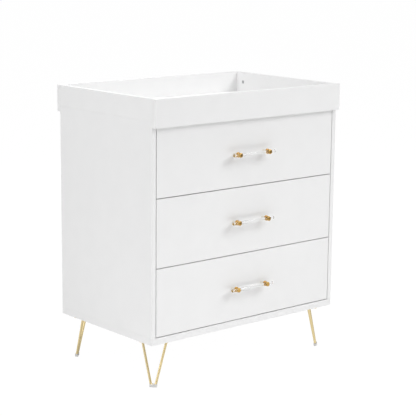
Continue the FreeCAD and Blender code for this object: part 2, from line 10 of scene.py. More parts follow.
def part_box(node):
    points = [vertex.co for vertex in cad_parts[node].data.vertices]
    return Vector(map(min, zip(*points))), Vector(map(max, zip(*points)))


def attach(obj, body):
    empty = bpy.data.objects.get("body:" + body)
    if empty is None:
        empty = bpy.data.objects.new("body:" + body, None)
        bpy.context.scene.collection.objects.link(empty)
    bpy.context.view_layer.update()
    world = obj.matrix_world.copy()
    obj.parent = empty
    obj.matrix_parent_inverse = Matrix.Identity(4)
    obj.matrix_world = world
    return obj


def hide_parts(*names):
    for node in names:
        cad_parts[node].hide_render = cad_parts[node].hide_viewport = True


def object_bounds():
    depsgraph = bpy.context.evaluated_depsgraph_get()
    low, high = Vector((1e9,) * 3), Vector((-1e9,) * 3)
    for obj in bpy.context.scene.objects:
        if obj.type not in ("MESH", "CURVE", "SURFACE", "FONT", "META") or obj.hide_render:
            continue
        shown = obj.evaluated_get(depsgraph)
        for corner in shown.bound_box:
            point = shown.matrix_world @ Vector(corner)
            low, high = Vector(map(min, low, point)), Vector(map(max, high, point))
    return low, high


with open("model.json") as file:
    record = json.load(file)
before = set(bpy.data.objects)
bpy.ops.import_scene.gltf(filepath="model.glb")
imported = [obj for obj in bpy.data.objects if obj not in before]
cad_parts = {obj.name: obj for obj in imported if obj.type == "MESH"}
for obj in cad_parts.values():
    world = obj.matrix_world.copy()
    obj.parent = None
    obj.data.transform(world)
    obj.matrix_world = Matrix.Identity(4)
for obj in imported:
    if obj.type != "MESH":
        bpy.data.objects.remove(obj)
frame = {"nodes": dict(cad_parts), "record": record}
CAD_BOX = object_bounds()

bl_info = {
    "name": "Changing dresser looks",
    "version": (1, 0, 0),
    "blender": (4, 5, 0),
    "location": "3D Viewport > Sidebar > Dresser",
    "description": "Finishes for a white changing dresser on gold hairpin legs, and its studio",
    "category": "Object",
}

DRAWERS = ("lower", "middle", "upper")
CORNERS = {"front_left": (-1, -1), "front_right": (1, -1), "rear_left": (-1, 1), "rear_right": (1, 1)}
SLOTS = {row["node"]: row["material_slot"] for row in frame["record"]["subparts"]}
BODY_OF = {node: body for body, nodes in frame["record"]["behaviour"]["bodies"].items() for node in nodes}

SHARP_ANGLE = math.radians(32)  # edges steeper than this stay crisp on the finished meshes

# Stage, in metres: a lamp's name, its power property and share of it, place, target, width and height
MIDDLE = (0, 0, 0.5)
LAMPS = (
    ("key_softbox", "key", 1.0, (2.5, -3.75, 3.95), MIDDLE, 2.6, 2.6),
    ("top_softbox", "top", 1.0, (-1.3, 0.1, 3.45), MIDDLE, 1.8, 1.8),
    ("side_softbox", "side", 1.0, (-3.4, -0.6, 0.7), MIDDLE, 2.2, 2.2),
    ("steep_softbox", "steep", 1.0, (-1.2, -1.3, 3.6), MIDDLE, 1.8, 1.8),
    ("front_strip", "low", 1.0, (-0.1, -1.2, 0.12), (-0.1, 0, 0.25), 1.3, 0.2),
    ("side_strip", "low", 0.6, (-1.4, 0, 0.12), (0, 0, 0.25), 0.8, 0.2),
    ("back_softbox", "back", 1.0, (1.4, 3.6, 1.2), MIDDLE, 2.0, 2.0),
)
# A grey board's name, place, target, half width, half height and grey
FLAGS = (
    ("right_flag", (1.7, 0.6, 0.5), MIDDLE, 1.2, 1.2, 0.36),
    ("front_flag", (1.5, -1.8, 0.25), MIDDLE, 0.5, 0.5, 0.42),
    ("camera_flag", (-0.75, -0.9, 0.3), (-0.34, -0.2, 0.3), 1.1, 0.5, 0.74),
    ("left_mat", (-0.57, -0.08, 0.003), (-0.57, -0.08, 1.0), 0.3, 0.3, 0.95),
)


# Properties ------------------------------------------------------------------------------------


def colour_property(name, description, default):
    """A linear colour that the panel shows as a swatch."""
    return FloatVectorProperty(name=name, description=description, subtype="COLOR", size=3,
                               min=0.0, max=1.0, default=default)


def length_property(name, description, default):
    """A length in metres."""
    return FloatProperty(name=name, description=description, unit="LENGTH", min=0.0, default=default,
                         precision=5)


class DresserBoards(bpy.types.PropertyGroup):
    """Colours and edges of the boards"""
    lacquer: colour_property("Lacquer", "Satin white of the boards", (0.885, 0.885, 0.885))
    lacquer_shade: colour_property("Lacquer shade", "The lacquer where it lies a little thinner",
                                   (0.872, 0.872, 0.873))
    hardboard: colour_property("Hardboard", "White face of the back panel and the drawer bases",
                               (0.80, 0.80, 0.79))
    edge_radius: length_property("Edge radius", "How far the boards' long edges are eased", 0.0005)
    long_edge: length_property("Long edge", "Shorter edges than this stay as they are", 0.045)


class DresserHandles(bpy.types.PropertyGroup):
    """Colours and sizes of the bars and their posts"""
    gold: colour_property("Handle gold", "Polished gold of the handle posts", (0.66, 0.42, 0.15))
    gold_shade: colour_property("Handle gold shade", "The gold where the polish is thinner",
                                (0.55, 0.34, 0.10))
    # Painted highlight: the stems' gold is painted pale to stand in for the highlight on them
    stem_highlight_gold: colour_property("Stem gold", "Paler gold of the stems behind the collars",
                               (0.92, 0.89, 0.81))
    bar_shade: colour_property("Bar shade", "The clear bar as the drawer behind it sees it",
                               (0.12, 0.12, 0.12))
    stem: length_property("Stem radius", "Post between the drawer and its collar", 0.0042)
    collar_start: length_property("Collar start", "Drawer face to the collar", 0.0185)
    collar_end: length_property("Collar end", "Drawer face to the front of the collar", 0.0225)
    head: length_property("Head radius", "Head that the bar runs through", 0.0076)


class DresserLegs(bpy.types.PropertyGroup):
    """Colours and sizes of the hairpin legs and their foot caps"""
    gold: colour_property("Leg gold", "Plating of the hairpin legs", (0.82, 0.68, 0.39))
    gold_shade: colour_property("Leg gold shade", "The plating where it lies thinner", (0.74, 0.60, 0.32))
    cap: colour_property("Foot cap", "Cloudy moulded plastic", (0.80, 0.80, 0.80))
    rod: length_property("Rod radius", "Bent steel rod", 0.004)
    spread: length_property("Half spread", "Middle of a leg to each rod at the plate", 0.0395)
    splay: length_property("Splay", "Outward lean of the foot along the corner's diagonal", 0.0287)
    bend: length_property("Bend radius", "Bend at the foot", 0.009)
    plate: length_property("Plate thickness", "Welded mounting plate", 0.003)
    plate_width: length_property("Plate width", "Plate across the leg", 0.092)
    plate_depth: length_property("Plate depth", "Plate along the corner's diagonal", 0.060)
    plate_corner: length_property("Plate corner", "Radius of the plate's corners", 0.006)
    hole_side: length_property("Hole sideways", "Middle of the plate to its screw holes", 0.026)
    hole_out: length_property("Hole outward", "Middle of the plate to its screw holes", 0.020)
    hole: length_property("Hole radius", "Screw hole in the plate", 0.0035)
    weld: length_property("Weld bead", "Radius of the bead round a rod", 0.0016)
    inset: length_property("Inset", "Cabinet's side and front to the middle of a plate", 0.055)
    cap_floor: length_property("Cap floor", "Plastic under the rod", 0.0015)
    cap_width: length_property("Cap width", "Foot cap across the leg", 0.026)
    cap_depth: length_property("Cap depth", "Foot cap along the corner's diagonal", 0.012)
    cap_height: length_property("Cap height", "Foot cap above the floor", 0.010)
    cap_corner: length_property("Cap corner", "Radius of the cap's upright edges", 0.005)
    cap_edge: length_property("Cap edge", "Radius of the cap's lower edge", 0.003)


class DresserFittings(bpy.types.PropertyGroup):
    """Colours of the cam locks, screws and runners"""
    zinc: colour_property("Zinc", "Die-cast cam locks", (0.50, 0.50, 0.51))
    steel: colour_property("Screw steel", "Plated screws and bolts", (0.58, 0.58, 0.59))
    enamel: colour_property("Runner enamel", "White enamel of the drawer runners", (0.80, 0.80, 0.78))
    nylon: colour_property("Roller nylon", "Moulded rollers", (0.84, 0.84, 0.81))
    recess: length_property("Recess depth", "Cross recess in screws and cam locks", 0.0012)


class DresserStage(bpy.types.PropertyGroup):
    """The camera's place and the lights' strengths"""
    azimuth: FloatProperty(name="Azimuth", description="Camera's turn round the dresser", unit="ROTATION",
                           default=math.radians(-40.536))
    elevation: FloatProperty(name="Elevation", description="Camera's height as an angle", unit="ROTATION",
                             default=math.radians(11.282))
    roll: FloatProperty(name="Roll", description="Camera's roll", unit="ROTATION",
                        default=math.radians(0.582))
    distance: length_property("Distance", "Camera to the point it turns round", 4.6574)
    aim_side: FloatProperty(name="Aim sideways", description="Aim point to the right of the middle",
                            unit="LENGTH", default=0.02963)
    aim_height: length_property("Aim height", "Aim point above the floor", 0.5077)
    lens: FloatProperty(name="Lens", description="Focal length on a 36 mm sensor, in millimetres",
                        default=117.79)
    ambient: FloatProperty(name="Ambient", description="Light from all round", default=0.34)
    key: FloatProperty(name="Key light", description="Power of the softbox high on the right", unit="POWER",
                       default=132.0)
    top: FloatProperty(name="Top light", description="Power of the softbox overhead", unit="POWER",
                       default=40.5)
    side: FloatProperty(name="Side light", description="Power of the softbox on the left", unit="POWER",
                        default=21.3)
    steep: FloatProperty(name="Steep light", description="Power of the softbox above the front",
                         unit="POWER", default=12.0)
    low: FloatProperty(name="Low lights", description="Power of each strip light near the floor",
                       unit="POWER", default=1.3)
    back: FloatProperty(name="Back light", description="Power of the softbox behind", unit="POWER",
                        default=24.0)


PROPERTY_GROUPS = {
    "dresser_boards": DresserBoards,
    "dresser_handles": DresserHandles,
    "dresser_legs": DresserLegs,
    "dresser_fittings": DresserFittings,
    "dresser_stage": DresserStage,
}


# Materials -------------------------------------------------------------------------------------


def wire(tree, source, target):
    """Link a node's output to another's input."""
    tree.links.new(source, target)


def surface_group():
    """Node group: a colour, a roughness and a height that change over the surface."""
    name = "Surface Variation"
    if name in bpy.data.node_groups:
        return bpy.data.node_groups[name]
    broad_scale_share = 0.02
    grain_share = 0.35
    mask_start, mask_end = 0.35, 0.65
    tree = bpy.data.node_groups.new(name, "ShaderNodeTree")
    sockets = (("Vector", "NodeSocketVector"), ("Scale", "NodeSocketFloat"),
               ("Stretch", "NodeSocketVector"), ("Colour", "NodeSocketColor"), ("Shade", "NodeSocketColor"),
               ("Smooth", "NodeSocketFloat"), ("Rough", "NodeSocketFloat"))
    for label, kind in sockets:
        tree.interface.new_socket(label, in_out="INPUT", socket_type=kind)
    for label, kind in (("Colour", "NodeSocketColor"), ("Roughness", "NodeSocketFloat"),
                        ("Height", "NodeSocketFloat")):
        tree.interface.new_socket(label, in_out="OUTPUT", socket_type=kind)
    given = tree.nodes.new("NodeGroupInput")
    made = tree.nodes.new("NodeGroupOutput")

    stretched = tree.nodes.new("ShaderNodeVectorMath")
    stretched.operation = "MULTIPLY"
    wire(tree, given.outputs["Vector"], stretched.inputs[0])
    wire(tree, given.outputs["Stretch"], stretched.inputs[1])

    grain = tree.nodes.new("ShaderNodeTexNoise")
    grain.inputs["Detail"].default_value = 3.0
    wire(tree, stretched.outputs["Vector"], grain.inputs["Vector"])
    wire(tree, given.outputs["Scale"], grain.inputs["Scale"])

    broad_scale = tree.nodes.new("ShaderNodeMath")
    broad_scale.operation = "MULTIPLY"
    broad_scale.inputs[1].default_value = broad_scale_share
    wire(tree, given.outputs["Scale"], broad_scale.inputs[0])
    cloud = tree.nodes.new("ShaderNodeTexNoise")
    cloud.inputs["Detail"].default_value = 2.0
    wire(tree, given.outputs["Vector"], cloud.inputs["Vector"])
    wire(tree, broad_scale.outputs["Value"], cloud.inputs["Scale"])

    blended = tree.nodes.new("ShaderNodeMath")
    blended.operation = "MULTIPLY_ADD"
    blended.inputs[1].default_value = grain_share
    wire(tree, grain.outputs["Fac"], blended.inputs[0])
    softened = tree.nodes.new("ShaderNodeMath")
    softened.operation = "MULTIPLY"
    softened.inputs[1].default_value = 1 - grain_share
    wire(tree, cloud.outputs["Fac"], softened.inputs[0])
    wire(tree, softened.outputs["Value"], blended.inputs[2])
    mask = tree.nodes.new("ShaderNodeMapRange")
    mask.inputs["From Min"].default_value = mask_start
    mask.inputs["From Max"].default_value = mask_end
    wire(tree, blended.outputs["Value"], mask.inputs["Value"])

    tint = tree.nodes.new("ShaderNodeMix")
    tint.data_type = "RGBA"
    wire(tree, mask.outputs["Result"], tint.inputs[0])
    wire(tree, given.outputs["Colour"], tint.inputs[6])
    wire(tree, given.outputs["Shade"], tint.inputs[7])
    gloss = tree.nodes.new("ShaderNodeMapRange")
    wire(tree, mask.outputs["Result"], gloss.inputs["Value"])
    wire(tree, given.outputs["Smooth"], gloss.inputs["To Min"])
    wire(tree, given.outputs["Rough"], gloss.inputs["To Max"])

    wire(tree, tint.outputs[2], made.inputs["Colour"])
    wire(tree, gloss.outputs["Result"], made.inputs["Roughness"])
    wire(tree, grain.outputs["Fac"], made.inputs["Height"])
    return tree


def finish_material(name, colour, shade, smooth, rough, scale, bump, stretch=(1, 1, 1), **sockets):
    """A material whose colour, gloss and relief vary; sockets are plain values on its shader."""
    material = bpy.data.materials.get(name)
    if material:
        return material
    material = bpy.data.materials.new(name)
    material.use_nodes = True
    tree = material.node_tree
    shader = tree.nodes["Principled BSDF"]
    place = tree.nodes.new("ShaderNodeTexCoord")
    varied = tree.nodes.new("ShaderNodeGroup")
    varied.node_tree = surface_group()
    wire(tree, place.outputs["Object"], varied.inputs["Vector"])
    varied.inputs["Scale"].default_value = scale
    varied.inputs["Stretch"].default_value = stretch
    varied.inputs["Colour"].default_value = (*colour, 1.0)
    varied.inputs["Shade"].default_value = (*shade, 1.0)
    varied.inputs["Smooth"].default_value = smooth
    varied.inputs["Rough"].default_value = rough
    relief = tree.nodes.new("ShaderNodeBump")
    relief.inputs["Strength"].default_value = 0.6
    relief.inputs["Distance"].default_value = bump
    wire(tree, varied.outputs["Colour"], shader.inputs["Base Color"])
    wire(tree, varied.outputs["Roughness"], shader.inputs["Roughness"])
    wire(tree, varied.outputs["Height"], relief.inputs["Height"])
    wire(tree, relief.outputs["Normal"], shader.inputs["Normal"])
    for socket, number in sockets.items():
        shader.inputs[socket.replace("_", " ")].default_value = number
    return material


def dimmed(colour, share):
    """A colour brought down to a share of itself."""
    return tuple(channel * share for channel in colour)


def lacquer_material(context):
    """Satin white lacquer with a fine roller texture."""
    boards = context.scene.dresser_boards
    return finish_material("satin_white_lacquer", boards.lacquer, boards.lacquer_shade,
                           smooth=0.46, rough=0.56, scale=900.0, bump=0.00003, Specular_IOR_Level=0.06)


def hardboard_material(context):
    """White-faced hardboard, matt, with a faint fibre."""
    colour = context.scene.dresser_boards.hardboard
    return finish_material("white_faced_hardboard", colour, dimmed(colour, 0.97),
                           smooth=0.62, rough=0.72, scale=500.0, bump=0.00005, stretch=(1, 0.25, 0.25))


def leg_gold_material(context):
    """Pale gold plating on the hairpin rods and their plates."""
    legs = context.scene.dresser_legs
    return finish_material("gold_plated_rod", legs.gold, legs.gold_shade,
                           smooth=0.16, rough=0.24, scale=700.0, bump=0.00001, Metallic=1.0)


def handle_gold_material(context):
    """Polished, deeper gold on the handle posts' collars and heads."""
    handles = context.scene.dresser_handles
    return finish_material("polished_gold_post", handles.gold, handles.gold_shade,
                           smooth=0.07, rough=0.13, scale=1200.0, bump=0.000004, Metallic=1.0)


def stem_highlight_gold_material(context):
    """Gold of the stems, between the drawer and the collars, painted pale to stand in for a highlight."""
    colour = context.scene.dresser_handles.stem_highlight_gold
    return finish_material("stem_gold_painted_highlight", colour, dimmed(colour, 0.93),
                           smooth=0.10, rough=0.18, scale=1200.0, bump=0.000004, Metallic=1.0)


def acrylic_material(context):
    """Clear cast acrylic, which diffuse rays see in a dark colour, so that it throws a painted soft shade
    on the drawer behind it.
    """
    handles = context.scene.dresser_handles
    made = "cast_clear_acrylic" in bpy.data.materials
    material = finish_material("cast_clear_acrylic", (1.0, 1.0, 1.0), (0.985, 0.99, 0.99),
                               smooth=0.04, rough=0.06, scale=300.0, bump=0.0000002,
                               Transmission_Weight=1.0, IOR=1.49)
    if not made:
        tree = material.node_tree
        shader = tree.nodes["Principled BSDF"]
        # Painted shade: diffuse rays see the bar in the bar shade colour, which darkens the drawer behind
        # it
        rays = tree.nodes.new("ShaderNodeLightPath")
        shade = tree.nodes.new("ShaderNodeMix")
        shade.data_type = "RGBA"
        shade.inputs[7].default_value = (*handles.bar_shade, 1.0)
        wire(tree, rays.outputs["Is Diffuse Ray"], shade.inputs[0])
        wire(tree, shader.inputs["Base Color"].links[0].from_socket, shade.inputs[6])
        wire(tree, shade.outputs[2], shader.inputs["Base Color"])
    return material


def foot_cap_material(context):
    """Cloudy moulded plastic, slightly frosted by the mould."""
    colour = context.scene.dresser_legs.cap
    return finish_material("moulded_clear_cap", colour, dimmed(colour, 0.93),
                           smooth=0.30, rough=0.42, scale=600.0, bump=0.00002,
                           Transmission_Weight=0.15, IOR=1.46)


def enamel_material(context):
    """White stoved enamel on the steel runners."""
    colour = context.scene.dresser_fittings.enamel
    return finish_material("white_runner_enamel", colour, dimmed(colour, 0.96),
                           smooth=0.26, rough=0.36, scale=800.0, bump=0.00002)


def nylon_material(context):
    """Moulded nylon of the runners' rollers."""
    colour = context.scene.dresser_fittings.nylon
    return finish_material("moulded_roller_nylon", colour, dimmed(colour, 0.96),
                           smooth=0.40, rough=0.52, scale=900.0, bump=0.00002, Subsurface_Weight=0.1)


def zinc_material(context):
    """Grainy die-cast zinc of the cam locks."""
    colour = context.scene.dresser_fittings.zinc
    return finish_material("die_cast_zinc", colour, dimmed(colour, 0.86),
                           smooth=0.38, rough=0.55, scale=1500.0, bump=0.00004, Metallic=1.0)


def screw_material(context):
    """Plated steel of the screws and bolts."""
    colour = context.scene.dresser_fittings.steel
    return finish_material("plated_screw_steel", colour, dimmed(colour, 0.88),
                           smooth=0.24, rough=0.38, scale=1200.0, bump=0.00002, Metallic=1.0)


# Shapes ----------------------------------------------------------------------------------------


def paint(piece, material):
    """Give a piece one material in place of those that it has."""
    piece.data.materials.clear()
    piece.data.materials.append(material)


def new_piece(name, mesh_code, material, node):
    """A finished mesh that stands for a CAD node, on that node's body, with the given material."""
    mesh = bpy.data.meshes.new(name)
    bmesh.ops.recalc_face_normals(mesh_code, faces=mesh_code.faces[:])
    mesh_code.to_mesh(mesh)
    mesh_code.free()
    mesh.shade_smooth()
    mesh.set_sharp_from_angle(angle=SHARP_ANGLE)
    piece = bpy.data.objects.new(name, mesh)
    bpy.context.scene.collection.objects.link(piece)
    paint(piece, material)
    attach(piece, BODY_OF[node])
    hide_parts(node)
    return piece


def eased(points, radius, steps=4):
    """The corners of an open outline, each rounded by up to a radius."""
    longest = 0.45  # share of a side that one corner may take up
    rounded = [Vector(points[0])]
    for before, corner, after in zip(points, points[1:], points[2:]):
        before, corner, after = Vector(before), Vector(corner), Vector(after)
        reach = min(radius, (before - corner).length * longest, (after - corner).length * longest)
        start = corner + (before - corner).normalized() * reach
        end = corner + (after - corner).normalized() * reach
        for step in range(steps + 1):
            share = step / steps
            rounded.append(start.lerp(corner, share).lerp(corner.lerp(end, share), share))
    rounded.append(Vector(points[-1]))
    return rounded


def circle(radius, sides):
    """Points of a circle round the origin."""
    angles = (math.tau * side / sides for side in range(sides))
    return [(radius * math.cos(angle), radius * math.sin(angle)) for angle in angles]


def bridge(mesh_code, low, high):
    """Faces between two closed loops with as many corners each."""
    for corner in range(len(low)):
        after = (corner + 1) % len(low)
        mesh_code.faces.new((low[corner], low[after], high[after], high[corner]))


def turn(mesh_code, outline, place, sides=48):
    """Turn an outline of (radius, height) pairs about Z, and put it in place."""
    rings = []
    for radius, height in outline:
        if radius < 1e-7:
            rings.append([mesh_code.verts.new(place @ Vector((0, 0, height)))])
            continue
        around = circle(radius, sides)
        rings.append([mesh_code.verts.new(place @ Vector((x, y, height))) for x, y in around])
    for low, high in zip(rings, rings[1:]):
        for side in range(sides):
            corners = [low[side % len(low)], low[(side + 1) % len(low)],
                       high[(side + 1) % len(high)], high[side % len(high)]]
            mesh_code.faces.new(list(dict.fromkeys(corners)))


def tube(mesh_code, path, radius, sides=24):
    """A round rod along a path of points, closed at both ends."""
    rings = []
    side_way = (path[1] - path[0]).orthogonal().normalized()
    for index, point in enumerate(path):
        before, after = path[max(index - 1, 0)], path[min(index + 1, len(path) - 1)]
        along = (after - before).normalized()
        side_way = (side_way - along * side_way.dot(along)).normalized()
        up_way = along.cross(side_way)
        rings.append([mesh_code.verts.new(point + side_way * x + up_way * y)
                      for x, y in circle(radius, sides)])
    for low, high in zip(rings, rings[1:]):
        bridge(mesh_code, low, high)
    mesh_code.faces.new(list(reversed(rings[0])))
    mesh_code.faces.new(rings[-1])


def fill_loops(mesh_code, loops):
    """Flat faces inside the first of some closed loops and outside the others."""
    edges = [mesh_code.edges.new((loop[i], loop[(i + 1) % len(loop)])) for loop in loops
             for i in range(len(loop))]
    bmesh.ops.triangle_fill(mesh_code, edges=edges, use_beauty=True)


def recessed_face(mesh_code, radius, arm, width, depth, place, sides=32):
    """A round face at Z 0 with a cross recess sunk below it; returns its rim."""
    floor_share = 0.86  # the recess narrows to this at its floor
    rim = [mesh_code.verts.new(place @ Vector((x, y, 0))) for x, y in circle(radius, sides)]
    half = width / 2
    quarter = [(arm, -half), (arm, half), (half, half)]
    cross = [Matrix.Rotation(math.tau * q / 4, 2) @ Vector(p) for q in range(4) for p in quarter]
    top = [mesh_code.verts.new(place @ Vector((x, y, 0))) for x, y in cross]
    floor = [mesh_code.verts.new(place @ Vector((x * floor_share, y * floor_share, -depth)))
             for x, y in cross]
    fill_loops(mesh_code, (rim, top))
    bridge(mesh_code, top, floor)
    mesh_code.faces.new(floor)
    return rim


def join_rims(mesh_code, rim, outline, place):
    """Carry a rim on round an outline of (radius, height) pairs, and close it at the end."""
    previous = rim
    for radius, height in outline:
        around = circle(radius, len(rim))
        ring = [mesh_code.verts.new(place @ Vector((x, y, height))) for x, y in around]
        bridge(mesh_code, previous, ring)
        previous = ring
    mesh_code.faces.new(previous)


def along(point, direction):
    """The placement whose Z runs from a point along a direction."""
    return Matrix.Translation(point) @ Vector(direction).to_track_quat("Z", "Y").to_matrix().to_4x4()


def solids_of(node):
    """The points of each separate solid in a CAD node."""
    mesh_code = bmesh.new()
    mesh_code.from_mesh(frame["nodes"][node].data)
    bmesh.ops.remove_doubles(mesh_code, verts=mesh_code.verts[:], dist=1e-6)
    unseen = set(mesh_code.verts)
    solids = []
    while unseen:
        found = [unseen.pop()]
        for vertex in found:
            for edge in vertex.link_edges:
                other = edge.other_vert(vertex)
                if other in unseen:
                    unseen.discard(other)
                    found.append(other)
        solids.append([vertex.co.copy() for vertex in found])
    mesh_code.free()
    return sorted(solids, key=lambda points: tuple(round(c, 4) for c in points_box(points)[0]))


def points_box(points):
    """The least and the greatest corner of the box round some points."""
    low = Vector(min(p[i] for p in points) for i in range(3))
    high = Vector(max(p[i] for p in points) for i in range(3))
    return low, high


def long_axis(points):
    """Index of the axis that a solid is longest along, its two ends and its widest half width."""
    low, high = points_box(points)
    size = high - low
    index = max(range(3), key=lambda i: size[i])
    ends = []
    for limit in (low, high):
        end = (low + high) / 2
        end[index] = limit[index]
        ends.append(end)
    return index, ends, sorted(size)[1] / 2


# Boards ----------------------------------------------------------------------------------------


def long_edge_group():
    """Geometry nodes: merge a board's split corners and mark its long, sharp edges for easing."""
    name = "Mark Long Edges"
    if name in bpy.data.node_groups:
        return bpy.data.node_groups[name]
    tree = bpy.data.node_groups.new(name, "GeometryNodeTree")
    tree.interface.new_socket("Geometry", in_out="INPUT", socket_type="NodeSocketGeometry")
    tree.interface.new_socket("Long Edge", in_out="INPUT", socket_type="NodeSocketFloat")
    tree.interface.new_socket("Geometry", in_out="OUTPUT", socket_type="NodeSocketGeometry")
    given, made = tree.nodes.new("NodeGroupInput"), tree.nodes.new("NodeGroupOutput")
    merge = tree.nodes.new("GeometryNodeMergeByDistance")
    merge.inputs["Distance"].default_value = 1e-6
    ends = tree.nodes.new("GeometryNodeInputMeshEdgeVertices")
    span = tree.nodes.new("ShaderNodeVectorMath")
    span.operation = "DISTANCE"
    angle = tree.nodes.new("GeometryNodeInputMeshEdgeAngle")
    is_long, is_sharp, both = (tree.nodes.new("ShaderNodeMath") for _ in range(3))
    is_long.operation = is_sharp.operation = "GREATER_THAN"
    is_sharp.inputs[1].default_value = math.radians(60)
    both.operation = "MULTIPLY"
    store = tree.nodes.new("GeometryNodeStoreNamedAttribute")
    store.data_type = "FLOAT"
    store.domain = "EDGE"
    store.inputs["Name"].default_value = "bevel_weight_edge"
    wire(tree, given.outputs["Geometry"], merge.inputs["Geometry"])
    wire(tree, ends.outputs["Position 1"], span.inputs[0])
    wire(tree, ends.outputs["Position 2"], span.inputs[1])
    wire(tree, span.outputs["Value"], is_long.inputs[0])
    wire(tree, given.outputs["Long Edge"], is_long.inputs[1])
    wire(tree, angle.outputs["Unsigned Angle"], is_sharp.inputs[0])
    wire(tree, is_long.outputs["Value"], both.inputs[0])
    wire(tree, is_sharp.outputs["Value"], both.inputs[1])
    wire(tree, merge.outputs["Geometry"], store.inputs["Geometry"])
    wire(tree, both.outputs["Value"], store.inputs["Value"])
    wire(tree, store.outputs["Geometry"], made.inputs["Geometry"])
    return tree


def ease_edges(piece, radius, long_edge):
    """Round a board's long edges without touching its own mesh; Socket_1 is the group's Long Edge."""
    mark = piece.modifiers.new("long_edges", "NODES")
    mark.node_group = long_edge_group()
    mark["Socket_1"] = long_edge
    bevel = piece.modifiers.new("eased_edges", "BEVEL")
    bevel.limit_method = "WEIGHT"
    bevel.width = radius
    bevel.segments = 2
    bevel.use_clamp_overlap = False
    bevel.harden_normals = True


class DRESSER_OT_boards(bpy.types.Operator):
    """Lacquer the boards and ease their edges"""
    bl_idname = "dresser.boards"
    bl_label = "Finish the boards"

    def execute(self, context):
        boards = context.scene.dresser_boards
        for node, slot in SLOTS.items():
            if slot == "white_board":
                paint(frame["nodes"][node], lacquer_material(context))
                ease_edges(frame["nodes"][node], boards.edge_radius, boards.long_edge)
            if slot == "white_hardboard":
                paint(frame["nodes"][node], hardboard_material(context))
        return {"FINISHED"}


# Handles ---------------------------------------------------------------------------------------


def make_bar(context, node):
    """A clear round bar with eased ends, along X."""
    low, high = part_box(node)
    radius = (high.z - low.z) / 2
    half = (high.x - low.x) / 2
    edge = radius * 0.2
    outline = eased([(0, -half), (radius, -half), (radius, half), (0, half)], edge)
    mesh_code = bmesh.new()
    turn(mesh_code, outline, along((low + high) / 2, (1, 0, 0)), sides=64)
    return new_piece(node.replace("_bar", "_clear_bar"), mesh_code, acrylic_material(context), node)


def make_posts(context, node):
    """Two turned posts: a stem on the drawer, painted pale as a highlight, a collar, and the head that
    holds the bar.
    """
    sizes = context.scene.dresser_handles
    low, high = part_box(node)
    collar = (high.z - low.z) / 2
    reach = high.y - low.y
    bolt_hole = 0.002  # ring on the foot, where the bolt comes in
    edge = 0.0005
    head_edge, head_steps = edge * 5, 8
    outline = [(0, 0), (bolt_hole, 0), (sizes.stem, 0), (sizes.stem, sizes.collar_start)]
    outline += eased([(sizes.stem, sizes.collar_start), (collar, sizes.collar_start),
                      (collar, sizes.collar_end), (sizes.head, sizes.collar_end)], edge)[1:]
    outline += eased([(sizes.head, sizes.collar_end), (sizes.head, reach), (0, reach)],
                     head_edge, head_steps)[1:]
    mesh_code = bmesh.new()
    for x in (low.x + collar, high.x - collar):
        foot = Vector((x, high.y, (low.z + high.z) / 2))
        turn(mesh_code, outline, along(foot, (0, -1, 0)), sides=64)
    name = node.replace("_posts", "_turned_posts")
    posts = new_piece(name, mesh_code, handle_gold_material(context), node)
    # The stems get a second material, a pale gold that stands in for a painted highlight
    posts.data.materials.append(stem_highlight_gold_material(context))
    collar_plane = high.y - sizes.collar_start
    for face in posts.data.polygons:
        face.material_index = int(face.center.y > collar_plane + edge)


def make_bolts(context, node):
    """Round-headed bolts, seen inside the drawer."""
    recess = context.scene.dresser_fittings.recess
    mesh_code = bmesh.new()
    for points in solids_of(node):
        _, (tip, head), radius = long_axis(points)
        length = (head - tip).length
        shank = radius / 2
        thick = shank * 1.2
        place = along(head, (0, 1, 0))
        rim = recessed_face(mesh_code, radius=radius * 0.72, arm=radius * 0.5, width=radius * 0.16,
                            depth=recess, place=place)
        join_rims(mesh_code, rim, [(radius * 0.92, -thick * 0.3), (radius, -thick * 0.7), (radius, -thick),
                                   (shank, -thick), (shank, -length)], place)
    return new_piece(node + "_cross", mesh_code, screw_material(context), node)


class DRESSER_OT_handles(bpy.types.Operator):
    """Make the clear bars, their turned gold posts and the bolts behind them"""
    bl_idname = "dresser.handles"
    bl_label = "Make the handles"

    def execute(self, context):
        for drawer in DRAWERS:
            make_bar(context, drawer + "_handle_bar")
            make_posts(context, drawer + "_handle_posts")
            make_bolts(context, drawer + "_handle_bolts")
        return {"FINISHED"}


# Legs ------------------------------------------------------------------------------------------


def hairpin_path(sizes, height):
    """The rod's middle line in the leg's own frame: origin under the cabinet, +Y outward."""
    drop = height - sizes.plate - sizes.cap_floor - sizes.rod
    length = math.hypot(drop, sizes.splay)
    centre = length - sizes.bend
    half_angle = math.atan2(sizes.spread, centre) - math.asin(sizes.bend / math.hypot(sizes.spread, centre))
    flat = [Vector((sizes.spread, 0))]
    steps = 20
    for step in range(steps + 1):
        angle = -half_angle - (math.pi - 2 * half_angle) * step / steps
        flat.append(Vector((sizes.bend * math.cos(angle), sizes.bend * math.sin(angle) - centre)))
    flat.append(Vector((-sizes.spread, 0)))
    lean = Matrix.Rotation(math.atan2(sizes.splay, drop), 3, "X")
    return [lean @ Vector((x, 0, z)) + Vector((0, 0, -sizes.plate)) for x, z in flat]


def weld_bead(mesh_code, centre, radius, bead, seed, sides=36):
    """A bead of weld round a rod, a little uneven."""
    section_sides = 8
    rings = []
    for side in range(sides):
        angle = math.tau * side / sides
        ripple = 1 + 0.10 * math.sin(angle * 9 + seed) + 0.05 * math.sin(angle * 4 + seed * 2)
        out = Vector((math.cos(angle), math.sin(angle), 0))
        rings.append([mesh_code.verts.new(centre + out * (radius + x) + Vector((0, 0, z)))
                      for x, z in circle(bead * ripple, section_sides)])
    for this, after in zip(rings, rings[1:] + rings[:1]):
        bridge(mesh_code, this, after)


def rounded_ring(half_width, half_depth, corner, steps=6):
    """Points of a rectangle with round corners."""
    points = []
    for sx, sy, start in ((1, 1, 0), (-1, 1, 90), (-1, -1, 180), (1, -1, 270)):
        for step in range(steps):
            angle = math.radians(start + 90 * step / (steps - 1))
            points.append((sx * (half_width - corner) + corner * math.cos(angle),
                           sy * (half_depth - corner) + corner * math.sin(angle)))
    return points


